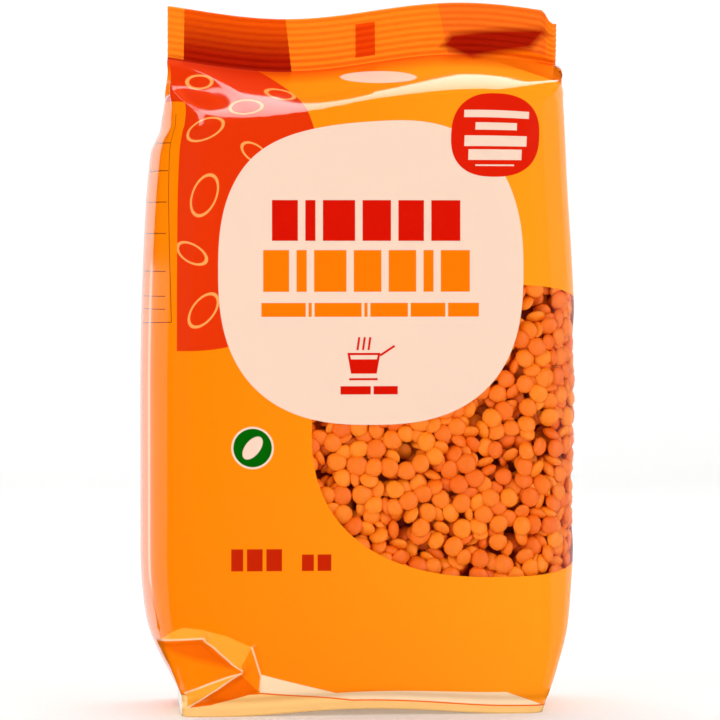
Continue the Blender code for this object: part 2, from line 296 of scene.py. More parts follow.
# How the lentils settle: those within FRONT_LAYER of the film start turned more towards it, each
# has RIM_BALLS balls round its edge, and the rates say how far it moves in a step
FRONT_LAYER = 0.003
FRONT_TURN = 1.6
RIM_BALLS = 6
RIM_BALL = 0.00072
SIDEWAYS = (0.31, 0.91, 0.27)
SETTLE_STEPS = 90
STEPS_BETWEEN_SEARCHES = 6
NEAR = 2.3 * LENTIL_RADIUS
PUSH_RATE = 0.18
WALL_RATE = 0.5
MOVE_RATE = 0.55
TURN_RATE = 0.5
DRIFT = 0.00002
SUPPORT_MARGIN = 1.08

# The heap behind the loose lentils: its grid, its heights and its dimples
CORE_STEPS = (160, 70)
CORE_Z = (0.012, 0.104)
CORE_OVERLAP = 0.0006
DIMPLE = 0.0006
DIMPLE_PITCH = (0.0011, 0.0010)
DIMPLE_WANDER = 2.0
DIMPLE_WANDER_LENGTH = 0.004

# The sweep: its front edge, the start of its bend, the bend, its wall and half its width
SWEEP_FRONT = -1.6
SWEEP_BACK = 0.9
SWEEP_RADIUS = 0.5
SWEEP_WALL = 1.6
SWEEP_HALF_WIDTH = 2.2
SWEEP_BEND_STEPS = 24

# Colours, linear
ORANGE_LEFT = (0.95, 0.208, 0.001)
# Painted light: the yellower orange of the film's right side.
ORANGE_RIGHT_LIT = (0.95, 0.300, 0.009)
# Painted shade on the roof under the crimp.
ROOF_SHADE = (0.80, 0.070, 0.001)
# Partly the gusset film seen through the front, partly painted shade.
FOLD_SHADE_ORANGE = (0.85, 0.150, 0.002)
CRIMP_ORANGE = (0.95, 0.230, 0.010)
# Painted shade: the darkest colour, at the foot of the crimp's dark field and in the shadow line
# along its crease.
CRIMP_DARK_SHADE = (0.40, 0.010, 0.001)
CRIMP_DARK_TOP = (0.78, 0.090, 0.002)
CRIMP_RIGHT = (0.86, 0.170, 0.012)
SEAM = (0.76, 0.052, 0.001)
# Painted shade in the pocket under the crimp's right end.
POCKET_SHADE = (0.36, 0.008, 0.001)
RED = (0.70, 0.032, 0.002)
BADGE_RED = (0.65, 0.012, 0.002)
WORD_RED = (0.60, 0.006, 0.001)
WORD_ORANGE = (0.97, 0.172, 0.001)
CREAM = (0.81, 0.585, 0.455)
LINE_CREAM = (0.95, 0.34, 0.085)
WEIGHT_RED = (0.50, 0.015, 0.001)
GREEN = (0.001, 0.105, 0.001)
TABLE_INK = (0.22, 0.045, 0.003)
# Painted highlight: the floor's reflection in the band over the foot's fold, also used for the
# tucked corner's ridge lines.
FOOT_PAINTED_HIGHLIGHT = (0.93, 0.69, 0.44)
# Painted reflection of the floor in the strip under the foot's fold.
FOOT_PAINTED_REFLECTION = (0.95, 0.58, 0.21)
# Painted light on the tucked corner's upward facets; painted shade under its ridges and in the
# foot's fold line.
TUCK_PAINTED_LIGHT = (0.95, 0.36, 0.030)
TUCK_SHADE = (0.85, 0.135, 0.001)
LENTIL_TONES = ((0.86, 0.135, 0.001), (0.95, 0.255, 0.003))
LENTIL_MOTTLE = (0.82, 0.110, 0.001)
# Painted shade: the heap behind the loose lentils is painted dark.
DEPTH_SHADE_TONES = ((0.30, 0.020, 0.001), (0.60, 0.080, 0.002))
SWEEP_WHITE = (0.93, 0.93, 0.93)

# How soft the print's edges are in millimetres, and how rough and mottled the pieces are
EDGE_SOFT = 0.10
FILM_IOR = 1.45
LENTIL_IOR = 1.45
PRINT_ROUGHNESS = 0.07
PANE_ROUGHNESS = 0.06
LENTIL_ROUGHNESS = 0.5
DEPTH_ROUGHNESS = 0.7
SWEEP_ROUGHNESS = 0.8
MOTTLE_NOISE = {"Scale": 900.0, "Detail": 3.0}
MOTTLE_SHARE = 0.35
GRAIN_NOISE = {"Scale": 400.0, "Detail": 2.0}

# The light: a place, an aim, a turn, a width, a height and a radiance. The boxes light the
# scene, and the cards are what the glossy film mirrors.
WORLD_COLOUR = (1.0, 0.99, 0.98)
WORLD_STRENGTH = 0.32
FILL_BOXES = {
    "top_box": ((0.0, 0.20, 1.14), (0.0, 0.10, 0.0), 0.0, 1.2, 0.40, 4.0),
    "left_box": ((-0.80, -0.62, 0.35), (0.0, 0.0, 0.08), 0.0, 0.8, 0.9, 3.2),
    "right_box": ((0.80, -0.62, 0.35), (0.0, 0.0, 0.08), 0.0, 0.8, 0.9, 3.0),
    "wall_box": ((0.0, 0.55, 1.45), (0.0, 1.4, 0.5), 0.0, 1.6, 0.3, 6.0),
}
GLOSS_CARDS = {
    "top_card": ((0.168, 0.631, 1.12), (0.168, 0.631, 0.0), math.radians(45), 0.97, 0.45, 4.8),
    "top_strip": ((-0.559, 0.191, 1.12), (-0.559, 0.191, 0.0), math.radians(45), 0.68, 0.09, 4.8),
    "left_card": ((-0.90, 1.15, -0.05), (0.0, 1.15, -0.05), 0.0, 2.5, 0.36, 0.95),
    "right_card": ((0.90, -0.03, 0.0), (0.0, -0.03, 0.0), 0.0, 0.74, 0.7, 0.4),
    "right_far_card": ((0.90, 1.47, 0.0), (0.0, 1.47, 0.0), 0.0, 2.26, 0.7, 0.9),
    "right_strip": ((0.70, -0.55, 0.42), (0.0, 0.0, 0.12), 0.0, 0.34, 0.44, 2.6),
    "back_card": ((0.0, 2.6, 0.10), (0.0, 0.0, 0.10), 0.0, 2.6, 1.1, 0.9),
}


def make_camera():
    """The camera, seen from the photograph's side: a little to the left and almost level."""
    direction = Vector((
        math.sin(CAMERA_AZIMUTH) * math.cos(CAMERA_ELEVATION),
        -math.cos(CAMERA_AZIMUTH) * math.cos(CAMERA_ELEVATION),
        math.sin(CAMERA_ELEVATION),
    ))
    lens = bpy.data.cameras.new("camera")
    lens.sensor_width = SENSOR_MM
    lens.lens = SENSOR_MM * CAMERA_DISTANCE / FRAME_WIDTH_AT_TARGET
    camera = bpy.data.objects.new("camera", lens)
    camera.location = Vector(CAMERA_TARGET) + direction * CAMERA_DISTANCE
    camera.rotation_euler = (-direction).to_track_quat("-Z", "Y").to_euler()
    bpy.context.collection.objects.link(camera)
    bpy.context.scene.camera = camera


def ease(t):
    """A smooth step from 0 to 1."""
    t = np.clip(t, 0.0, 1.0)
    return t * t * (3.0 - 2.0 * t)


def edge_drop(x):
    """How far the crimp's top edge lies below its crest at x: a cosine along the crimp."""
    return EDGE_WAVE * (1.0 - np.cos(TAU * (x - EDGE_CREST_X) / EDGE_WAVE_LENGTH))


def straight_half_width(z, side):
    """Half the section's width without the swell: side is +1 on the right, -1 on the left.
    Powers of the height narrow it upwards, with a step where the left gusset opens. An
    exponential narrows the right foot, and a power of the height the left one."""
    body = HALF_WIDTH - SIDE_SWELL
    above = np.clip((z - BELLY_HEIGHT) / (CRIMP_BASE - BELLY_HEIGHT), 0.0, 1.0)
    step = LEFT_STEP * ease((z - LEFT_STEP_LOW) / (LEFT_STEP_HIGH - LEFT_STEP_LOW))
    on_left = LEFT_NARROWING * above**LEFT_NARROWING_POWER + step
    on_right = RIGHT_NARROWING * above**RIGHT_NARROWING_POWER
    right_foot = np.exp(-z / RIGHT_TAPER)
    tucked = np.clip((LEFT_TUCK_HIGH - z) / (LEFT_TUCK_HIGH - LEFT_TUCK_LOW), 0.0, 1.0)
    foot = np.where(side > 0, right_foot, tucked**LEFT_TUCK_BEND)
    return body - np.where(side > 0, on_right, on_left) - (body - FOOT_HALF_WIDTH) * foot


def foot_inset(z):
    """How far the front and back draw in towards the foot, with the fold's groove: a smooth
    step and a bell curve."""
    rounding = FOOT_INSET * (1.0 - ease(z / FOOT_ROUND_HEIGHT))
    groove = FOOT_FOLD_DEPTH * np.exp(-(((z - FOOT_FOLD_HEIGHT) / FOOT_FOLD_WIDTH) ** 2))
    return rounding + groove


def body_section(q, z, side, back):
    """A swollen rectangle with round corners: q runs along a quarter of it, from the middle
    of the front or back to the middle of a side, along a straight, a quarter circle and a
    straight, each swollen by a parabola. Returns x and y, both measured outwards."""
    width = straight_half_width(z, side)
    depth = HALF_DEPTH - FRONT_SWELL - foot_inset(z) - np.where(back, LAP_PROUD, 0.0)
    opened = ease(z / CORNER_FULL_HEIGHT)
    radius = FOOT_CORNER_RADIUS + (CORNER_RADIUS - FOOT_CORNER_RADIUS) * opened
    turn_length = radius * math.pi / 2.0
    run = q / QUARTER * (width - radius + turn_length + depth - radius)
    turn = np.clip((run - (width - radius)) / radius, 0.0, math.pi / 2.0)
    x = np.minimum(run, width - radius) + radius * np.sin(turn)
    past = np.maximum(run - (width - radius) - turn_length, 0.0)
    y = depth - radius * (1.0 - np.cos(turn)) - past
    swell_x = SIDE_SWELL * ease(z / SIDE_SWELL_HEIGHT) * (1.0 - (y / depth) ** 2)
    across = np.minimum(x / width, 1.0)
    swell_y = FRONT_SWELL * ease(z / FRONT_SWELL_HEIGHT) * (1.0 - across**2)
    return x + swell_x, y + swell_y


def shoulder_fraction(x, z):
    """0 at the crimp's base and 1 where the gussets are wide open, lower on the left."""
    leftward = np.clip(-x / PANEL_HALF, 0.0, 1.0)
    return np.clip((CRIMP_BASE - z) / (SHOULDER_DROP + SHOULDER_DROP_LEFT * leftward), 0.0, 1.0)


def roof_depth(x, z, back):
    """The share of its full depth that a panel has: 0 at the crimp's base and 1 at the knee,
    along a superellipse, less a squared sine that hollows the front's left end. The knee is
    lower on the left and higher at the right end."""
    across = np.clip(x / PANEL_HALF, -1.0, 1.0)
    leftward = np.maximum(-across, 0.0)
    start, end = ROOF_RIGHT_EDGES
    drop = ROOF_DROP + ROOF_DROP_LEFT * leftward**ROOF_DROP_LEFT_POWER
    drop = drop - ROOF_DROP_RIGHT * ease((across - start) / (end - start))
    down = np.clip((CRIMP_BASE - z) / drop, 0.0, 1.0)
    start, end = ROOF_HOLLOW_EDGES
    hollow = np.where(back, 0.0, ROOF_HOLLOW) * ease((leftward - start) / (end - start))
    hollow = hollow * np.sin(math.pi * np.clip(down / ROOF_HOLLOW_END, 0.0, 1.0)) ** 2
    bend = ROOF_BEND - ROOF_BEND_LEFT * leftward
    return (1.0 - (1.0 - down) ** bend) ** (1.0 / bend) - hollow


def crest(x, z, start, end, rise, above, below):
    """A crease's height: full on the line from start to end, falling straight to nothing at
    the distances above and below it, and fading at its ends."""
    along = np.subtract(end, start)
    length = math.hypot(*along)
    along = along / length
    dx, dz = x - start[0], z - start[1]
    t = (dx * along[0] + dz * along[1]) / length
    off = dz * along[0] - dx * along[1]
    fall = np.where(off > 0, 1.0 - off / above, 1.0 + off / below)
    ends = ease(t / CREST_FADE + 1.0) * ease((1.0 - t) / CREST_FADE + 1.0)
    return rise * np.clip(fall, 0.0, 1.0) * ends


def tucked_corner(x, z):
    """The creased relief at the lower left of the front, outwards: crests over a hollow."""
    relief = sum(crest(x, z, *each) for each in TUCK_CRESTS)
    across = (x - TUCK_HOLLOW_CENTRE[0]) / TUCK_HOLLOW_REACH[0]
    up = (z - TUCK_HOLLOW_CENTRE[1]) / TUCK_HOLLOW_REACH[1]
    return relief - TUCK_HOLLOW * ease(1.0 - np.hypot(across, up))


def lap_seal(s):
    """The lap seal's relief down the middle of the back: a flat strip with sloping edges."""
    from_middle = 2.0 * QUARTER - np.abs(s)
    return LAP_PROUD * np.clip((LAP_HALF_WIDTH - from_middle) / LAP_EDGE, 0.0, 1.0)


def bag_surface(s, z):
    """The bag's outer surface as an array of points: the body's section above the foot blends
    into two flat panels with the gussets' leaves between them, and ends in the crimp. s is
    the distance round the film, positive to the right, and z the height of the section."""
    s, z = np.broadcast_arrays(s, z)
    side = np.where(s < 0, -1.0, 1.0)
    back = np.abs(s) > QUARTER
    q = np.where(back, 2.0 * QUARTER - np.abs(s), np.abs(s))
    outward = np.where(back, 1.0, -1.0)
    body_x, body_y = body_section(q, z, side, back)

    fraction = shoulder_fraction(side * body_x, z)
    opened = roof_depth(side * body_x, z, back)
    folded = 1.0 - ease(fraction / FOLDED_SHARE)
    tuck = GUSSET_LEAF * np.clip(1.0 - fraction / NOTCH_SHARE, 0.0, 1.0) ** NOTCH_POWER
    tuck = np.where(z > CRIMP_BASE + TINY, 0.0, tuck)
    leaf = np.clip((q - PANEL_HALF) / GUSSET_LEAF, 0.0, 1.0)
    fold_x = np.minimum(q, PANEL_HALF) - tuck * leaf
    held = ease(1.0 - np.abs(fraction - HELD_AT) / HELD_REACH)
    held = held * ease(1.0 - np.abs(q - PANEL_HALF) / HELD_WIDTH)
    held = held * np.where(side > 0, HELD_OUT_RIGHT, HELD_OUT_LEFT)
    half = CRIMP_HALF_THICKNESS + (body_y - CRIMP_HALF_THICKNESS) * opened
    flat = CRIMP_HALF_THICKNESS + (HALF_DEPTH - FRONT_SWELL) * opened
    x = side * (body_x + (fold_x - body_x) * folded + held)
    y = half + (flat * (1.0 - leaf) - half) * folded

    y = outward * (y + np.where(back, lap_seal(s), tucked_corner(x, z)))
    x = x + TOP_SHIFT * ease((z - TOP_SHIFT_START) / (CRIMP_BASE - TOP_SHIFT_START))
    x = x + FOOT_SKEW * y / HALF_DEPTH * (1.0 - ease(z / FOOT_SKEW_HEIGHT))
    up_crimp = np.clip((z - CRIMP_BASE) / CRIMP_HEIGHT, 0.0, 1.0)
    lean = CRIMP_LEAN * np.sin(TAU * x / CRIMP_LEAN_LENGTH + CRIMP_LEAN_PHASE)
    y = y + RIB_DEPTH * np.sin(TAU * RIBS * up_crimp)
    y = y + lean * ease((z - CRIMP_LEAN_START) / (HEIGHT - CRIMP_LEAN_START))
    wave = edge_drop(x) * ease((z - EDGE_WAVE_START) / (CRIMP_BASE - EDGE_WAVE_START))
    end_drop = RIGHT_END_DROP * ease((x - RIGHT_END_START) / (PANEL_HALF - RIGHT_END_START))
    arch = FOOT_ARCH * (1.0 - np.clip(x / FOOT_ARCH_HALF, -1.0, 1.0) ** 2) ** 2
    arch = arch * (1.0 - ease(z / FOOT_ARCH_HEIGHT))
    return np.stack([x, y, z - wave - end_drop * up_crimp + arch], axis=-1)


def film_frames(s, z):
    """Points on the film with the directions round it, up it and inwards: differences of the
    surface a tenth of a millimetre to either side, and their cross products."""
    here = bag_surface(s, z)
    across = bag_surface(s + FRAME_REACH, z) - bag_surface(s - FRAME_REACH, z)
    up = bag_surface(s, z + FRAME_REACH) - bag_surface(s, z - FRAME_REACH)
    across /= np.linalg.norm(across, axis=-1, keepdims=True)
    inward = np.cross(up, across)
    inward /= np.linalg.norm(inward, axis=-1, keepdims=True)
    return here, across, np.cross(across, inward), inward


def new_piece(name, points, faces, film_map=None):
    """Puts arrays of points and of four-sided faces into a new object at the origin. A face
    whose last corner repeats another is a triangle. film_map holds a place for each corner."""
    points, faces = np.asarray(points, np.float32), np.asarray(faces, np.int32)
    if faces.shape[1] == 3:
        faces = np.concatenate([faces, faces[:, :1]], axis=1)
    keep = faces != np.roll(faces, 1, axis=1)
    sizes = keep.sum(axis=1)
    mesh = bpy.data.meshes.new(name)
    mesh.vertices.add(len(points))
    mesh.vertices.foreach_set("co", points.ravel())
    mesh.loops.add(int(sizes.sum()))
    mesh.loops.foreach_set("vertex_index", faces[keep])
    mesh.polygons.add(len(faces))
    starts = np.concatenate([[0], np.cumsum(sizes)[:-1]]).astype(np.int32)
    mesh.polygons.foreach_set("loop_start", starts)
    mesh.polygons.foreach_set("use_smooth", np.ones(len(faces), bool))
    if film_map is not None:
        layer = mesh.uv_layers.new(name="film")
        layer.data.foreach_set("uv", film_map.reshape(-1, 4, 2)[keep].astype(np.float32).ravel())
    mesh.update(calc_edges=True)
    piece = bpy.data.objects.new(name, mesh)
    bpy.context.collection.objects.link(piece)
    return piece


def spaced(start, end, step):
    """Evenly spaced numbers from start up to but not including end, about a step apart."""
    return np.linspace(start, end, round((end - start) / step) + 1)[:-1]


def film_columns():
    """Distances round the film for the front half, and for the back half behind it."""
    lap = np.array([LAP_HALF_WIDTH, LAP_HALF_WIDTH + LAP_EDGE])
    front = np.unique(np.round(np.concatenate([
        spaced(-QUARTER, TUCK_EDGES[0], LEAF_STEP), spaced(*TUCK_EDGES, TUCK_STEP),
        spaced(TUCK_EDGES[1], PANEL_HALF, PANEL_STEP), spaced(PANEL_HALF, QUARTER, LEAF_STEP),
        -lap, [0.0], lap, [-PANEL_HALF, QUARTER],
    ]), 7))
    rear = np.where(front < 0, -1.0, 1.0) * (2.0 * QUARTER - np.abs(front))
    return front, rear[-2:0:-1]


def film_rows():
    """Heights of the film's sections, close together at the foot, shoulder and ribs."""
    return np.concatenate([
        spaced(ROW_EDGES[0], ROW_EDGES[1], FOOT_STEP),
        spaced(ROW_EDGES[1], ROW_EDGES[2], BODY_STEP),
        spaced(ROW_EDGES[2], CRIMP_BASE, SHOULDER_STEP),
        np.linspace(CRIMP_BASE, HEIGHT, RIBS * ROWS_PER_RIB + 1),
    ])


def length_round(points, zero):
    """The true length along each row of points from its column zero: summed steps."""
    steps = np.linalg.norm(np.diff(points[..., :2], axis=1), axis=-1)
    length = np.concatenate([np.zeros((len(points), 1)), np.cumsum(steps, axis=1)], axis=1)
    return length - length[:, zero:zero + 1]


def quads_of(index):
    """The four-sided faces of a grid of point numbers."""
    faces = np.stack([index[:-1, :-1], index[:-1, 1:], index[1:, 1:], index[1:, :-1]], axis=-1)
    return faces.reshape(-1, 4)


def grid_map(length, heights):
    """Each corner's place on the film's map, for the faces of a grid."""
    places = np.stack(np.broadcast_arrays(length, heights[:, None]), axis=-1)
    corners = [places[:-1, :-1], places[:-1, 1:], places[1:, 1:], places[1:, :-1]]
    return np.stack(corners, axis=2).reshape(-1, 4, 2)


def underside(front, rear):
    """The folded foot's underside: straight lines from the front's edge to the back's, lifted
    a little except at the cross seal's strip."""
    t = np.linspace(0.0, 1.0, UNDER_STEPS + 1)[1:-1, None, None]
    points = front[None] * (1.0 - t) + rear[None] * t
    inside = np.minimum(t[..., 0], 1.0 - t[..., 0])
    strip = np.abs(points[..., 1]) < UNDER_SEAM_HALF
    points[..., 2] += np.where(strip, 0.0, UNDER_LIFT) * ease(inside / UNDER_EDGE)
    return points


def make_film():
    """The film as one closed surface: rings of points on the bag's surface, closed by a strip
    along the crimp's top and by the folded foot. Its map holds the length round it from the
    middle of the front, or past BACK_CENTRE from the middle of the back, and the height."""
    front, rear = film_columns()
    heights = film_rows()
    points = bag_surface(np.concatenate([front, rear])[None, :], heights[:, None])
    rows, count = points.shape[:2]
    last = len(front) - 1
    ring = np.arange(rows * count).reshape(rows, count)
    front_ring = ring[:, :last + 1]
    rear_ring = np.concatenate([ring[:, last:], ring[:, :1]], axis=1)
    middle = int(np.argmin(np.abs(front)))
    flat = points.reshape(-1, 3)
    front_length = length_round(flat[front_ring], middle)
    rear_length = BACK_CENTRE + length_round(flat[rear_ring], last - middle)

    mirror = rear_ring[:, ::-1]
    inner = underside(points[0, 1:last], flat[mirror[0, 1:last]])
    inner_ring = rows * count + np.arange(inner.shape[0] * inner.shape[1]).reshape(inner.shape[:2])
    inner_ring = np.concatenate([front_ring[:1, 1:-1], inner_ring, mirror[:1, 1:-1]])
    ends = np.broadcast_to(front_ring[0, [0, -1]], (len(inner_ring), 2))
    under = np.concatenate([ends[:, :1], inner_ring, ends[:, 1:]], axis=1)
    top = np.stack([front_ring[-1], mirror[-1]])
    plain = quads_of(under)[:, ::-1], quads_of(top)
    return new_piece(
        "bag_film",
        np.concatenate([flat, inner.reshape(-1, 3)]),
        np.concatenate([quads_of(front_ring), quads_of(rear_ring), *plain]),
        np.concatenate([
            grid_map(front_length, heights), grid_map(rear_length, heights),
            np.full((len(plain[0]), 4, 2), OFF_PRINT), np.full((len(plain[1]), 4, 2), HEIGHT),
        ]),
    )


def settled_lentils():
    """Places and face directions of lentils packed loosely behind the window, in a flat slab
    of s, z and depth: each is a middle ball and a ring of rim balls. Step by step, balls that
    overlap push each other apart, and the slab's walls push them back in."""
    rng = np.random.default_rng(SEED)
    size = np.array([SLAB_S[1] - SLAB_S[0], SLAB_Z[1] - SLAB_Z[0], SLAB_DEPTH])
    centre = rng.uniform(0.0, 1.0, (LENTIL_COUNT, 3)) * size
    facing = rng.normal(0.0, 1.0, (LENTIL_COUNT, 3)) + np.array([0.0, 0.0, 1.0])
    facing[:, 2] = np.abs(facing[:, 2]) * (1.0 + FRONT_TURN * (centre[:, 2] < FRONT_LAYER))
    facing /= np.linalg.norm(facing, axis=1, keepdims=True)
    grown = rng.normal(1.0, LENTIL_SPREAD, LENTIL_COUNT).clip(*LENTIL_LIMITS)
    angles = TAU * np.arange(RIM_BALLS) / RIM_BALLS
    balls = np.concatenate([[LENTIL_HALF_THICKNESS], np.full(RIM_BALLS, RIM_BALL)])
    for step in range(SETTLE_STEPS):
        side = np.cross(facing, np.array(SIDEWAYS))
        side /= np.linalg.norm(side, axis=1, keepdims=True)
        other = np.cross(facing, side)
        spokes = side[:, None] * np.cos(angles)[:, None] + other[:, None] * np.sin(angles)[:, None]
        spokes = spokes * (LENTIL_RADIUS - RIM_BALL)
        arms = np.concatenate([np.zeros((LENTIL_COUNT, 1, 3)), spokes], axis=1)
        arms = arms * grown[:, None, None]
        places = centre[:, None] + arms
        if step % STEPS_BETWEEN_SEARCHES == 0:
            gap = np.linalg.norm(centre[:, None] - centre[None], axis=-1)
            first, second = np.nonzero(np.triu(gap < NEAR, 1))
        apart = places[first][:, :, None] - places[second][:, None]
        distance = np.linalg.norm(apart, axis=-1) + TINY**2
        reach = balls[None, :, None] + balls[None, None, :]
        push = apart * (np.clip(reach - distance, 0.0, None) / distance)[..., None] * PUSH_RATE
        force = np.zeros_like(places)
        np.add.at(force, first, push.sum(2))
        np.add.at(force, second, -push.sum(1))
        for axis in range(3):
            past = places[..., axis] + balls - size[axis]
            force[..., axis] += np.clip(balls - places[..., axis], 0.0, None) * WALL_RATE
            force[..., axis] -= np.clip(past, 0.0, None) * WALL_RATE
        centre = centre + force.sum(1) * MOVE_RATE
        centre[:, 2] -= DRIFT
        turn = np.cross(arms, force).sum(1) / (LENTIL_RADIUS**2) * TURN_RATE
        facing = facing + np.cross(turn, facing)
        facing /= np.linalg.norm(facing, axis=1, keepdims=True)
    tilted = np.sqrt(1.0 - facing[:, 2] ** 2)
    support = np.hypot(LENTIL_RADIUS * tilted, LENTIL_HALF_THICKNESS * facing[:, 2])
    centre[:, 2] = np.maximum(centre[:, 2], support * SUPPORT_MARGIN)
    return centre, facing, grown, rng


def lentil_shape():
    """A lens: rings of a flattened ball whose edge is drawn a little sharper, closed at both
    poles. Returns its points with a radius of 1 and its faces as triangles."""
    ring_angle = np.linspace(-math.pi / 2, math.pi / 2, LENTIL_RINGS + 1)[1:-1]
    round_angle = TAU * np.arange(LENTIL_SEGMENTS) / LENTIL_SEGMENTS
    radius = np.cos(ring_angle) ** LENTIL_RIM_POWER
    lift = np.sign(ring_angle) * np.abs(np.sin(ring_angle)) ** LENTIL_DOME_POWER
    ring = np.stack([
        radius[:, None] * np.cos(round_angle), radius[:, None] * np.sin(round_angle),
        np.broadcast_to(lift[:, None], (len(radius), LENTIL_SEGMENTS)),
    ], -1).reshape(-1, 3)
    points = np.concatenate([ring, [[0, 0, -1], [0, 0, 1]]])
    index = np.arange(len(ring)).reshape(len(radius), LENTIL_SEGMENTS)
    after = np.roll(index, -1, axis=1)
    a = np.stack([index[:-1], after[:-1], after[1:]], -1).reshape(-1, 3)
    b = np.stack([index[:-1], after[1:], index[1:]], -1).reshape(-1, 3)
    low = np.stack([after[0], index[0], np.full(LENTIL_SEGMENTS, len(ring))], -1)
    high = np.stack([index[-1], after[-1], np.full(LENTIL_SEGMENTS, len(ring) + 1)], -1)
    return points, np.concatenate([a, b, low, high])


def make_lentils():
    """The lentils at true size as one joined mesh, carried from the flat slab to the film:
    each takes its place from the film's directions there, and sines of the angle round it
    make its outline uneven."""
    centre, facing, grown, rng = settled_lentils()
    s = SLAB_S[0] + centre[:, 0]
    z = SLAB_Z[0] + centre[:, 1]
    here, across, up, inward = film_frames(s, z)
    middle = here + inward * (centre[:, 2:3] + FILM_CLEARANCE)
    axis = across * facing[:, 0:1] + up * facing[:, 1:2] + inward * facing[:, 2:3]
    one = np.cross(axis, up + AXIS_NUDGE)
    one /= np.linalg.norm(one, axis=1, keepdims=True)
    two = np.cross(axis, one)
    shape, faces = lentil_shape()
    radius = LENTIL_RADIUS * grown * rng.normal(1.0, WIDTH_SPREAD, LENTIL_COUNT)
    thick = LENTIL_HALF_THICKNESS * grown * rng.normal(1.0, THICKNESS_SPREAD, LENTIL_COUNT)
    turn = np.arctan2(shape[:, 1], shape[:, 0])[None, :]
    phases = rng.random((2, LENTIL_COUNT, 1)) * TAU
    uneven = LENTIL_UNEVEN[0] * np.sin(2.0 * turn + phases[0])
    uneven = uneven + LENTIL_UNEVEN[1] * np.sin(3.0 * turn + phases[1])
    reach = (radius[:, None] * (1.0 + uneven))[..., None]
    points = (
        middle[:, None]
        + one[:, None] * shape[None, :, 0:1] * reach
        + two[:, None] * shape[None, :, 1:2] * reach
        + axis[:, None] * (shape[None, :, 2:3] * thick[:, None, None])
    )
    offsets = (np.arange(LENTIL_COUNT) * len(shape))[:, None, None]
    all_faces = (faces[None] + offsets).reshape(-1, 3)
    piece = new_piece("lentils", points.reshape(-1, 3), all_faces)
    tone = piece.data.attributes.new("tone", "FLOAT", "POINT")
    tones = np.repeat(rng.random(LENTIL_COUNT), len(shape))
    tone.data.foreach_set("value", tones.astype(np.float32))
    return piece


def make_core():
    """The rest of the lentils as one closed heap behind the loose ones: the bag's surface
    drawn in by a depth that dimples like packed lentils, closed at its foot and top."""
    around = np.linspace(-2.0 * QUARTER, 2.0 * QUARTER, CORE_STEPS[0] + 1)[:-1]
    heights = np.linspace(*CORE_Z, CORE_STEPS[1] + 1)
    s, z = np.broadcast_arrays(around[None, :], heights[:, None])
    here, _, _, inward = film_frames(s, z)
    wander = DIMPLE_WANDER * np.sin(s / DIMPLE_WANDER_LENGTH)
    dimple = DIMPLE * np.sin(s / DIMPLE_PITCH[0]) * np.sin(z / DIMPLE_PITCH[1] + wander)
    points = here + inward * (SLAB_DEPTH - CORE_OVERLAP + dimple)[..., None]
    rows, count = s.shape
    ring = np.arange(rows * count).reshape(rows, count)
    ring = np.concatenate([ring, ring[:, :1]], axis=1)
    poles = np.array([points[0].mean(0), points[-1].mean(0)])
    low = np.full_like(ring[:1], rows * count)
    whole = np.concatenate([points.reshape(-1, 3), poles])
    faces = quads_of(np.concatenate([low, ring, low + 1]))
    return new_piece("lentil_core", whole, faces)


class Wire:
    """A shader socket that takes part in sums: each operator adds one Math node."""

    def __init__(self, finish, socket):
        self.finish = finish
        self.socket = socket

    def math(self, operation, *others):
        return self.finish.add("ShaderNodeMath", {"operation": operation}, (self, *others))

    def __add__(self, other):
        return self.math("ADD", other)

    __radd__ = __add__

    def __sub__(self, other):
        return self.math("SUBTRACT", other)

    def __rsub__(self, other):
        return self.finish.add("ShaderNodeMath", {"operation": "SUBTRACT"}, (other, self))

    def __mul__(self, other):
        return self.math("MULTIPLY", other)

    __rmul__ = __mul__

    def __truediv__(self, other):
        return self.math("DIVIDE", other)

    def __pow__(self, other):
        return self.math("POWER", other)

    def __abs__(self):
        return self.math("ABSOLUTE")

    def __neg__(self):
        return self.math("MULTIPLY", -1.0)

    def least(self, other):
        return self.math("MINIMUM", other)

    def most(self, other):
        return self.math("MAXIMUM", other)


class Finish:
    """A material and the one method that adds its nodes."""

    def __init__(self, name):
        self.material = bpy.data.materials.new(name)
        self.material.use_nodes = True
        self.tree = self.material.node_tree
        self.tree.nodes.clear()
        self.output = self.tree.nodes.new("ShaderNodeOutputMaterial")

    def add(self, kind, settings=None, values=(), out=0):
        """Adds a node: its settings first, then its sockets, as a tuple in order or a dict by
        name or number. Returns the wire of its output out."""
        node = self.tree.nodes.new(kind)
        for key, value in (settings or {}).items():
            setattr(node, key, value)
        pairs = values.items() if isinstance(values, dict) else enumerate(values)
        for key, value in pairs:
            if isinstance(value, Wire):
                self.tree.links.new(value.socket, node.inputs[key])
            else:
                node.inputs[key].default_value = value
        return Wire(self, node.outputs[out])

    def mix(self, mask, under, over):
        """One colour over another, by a mask. A Mix node's colours go in at 6 and 7 and come
        out at 2."""
        values = {0: mask, 6: as_colour(under), 7: as_colour(over)}
        return self.add("ShaderNodeMix", {"data_type": "RGBA"}, values, 2)

    def edge(self, distance, soft=EDGE_SOFT):
        """A mask that is 1 where a distance in millimetres is negative."""
        held = 0.5 - distance / soft
        return self.add("ShaderNodeClamp", {}, (held, 0.0, 1.0))

    def ramp(self, value, start, end):
        """0 where the value is at start and 1 where it is at end, straight between them."""
        return self.add("ShaderNodeMapRange", {}, (value, start, end, 0.0, 1.0))

    def finish(self, shader):
        self.tree.links.new(shader.socket, self.output.inputs[0])
        return self.material


def as_colour(value):
    return value if isinstance(value, Wire) else (*value, 1.0)


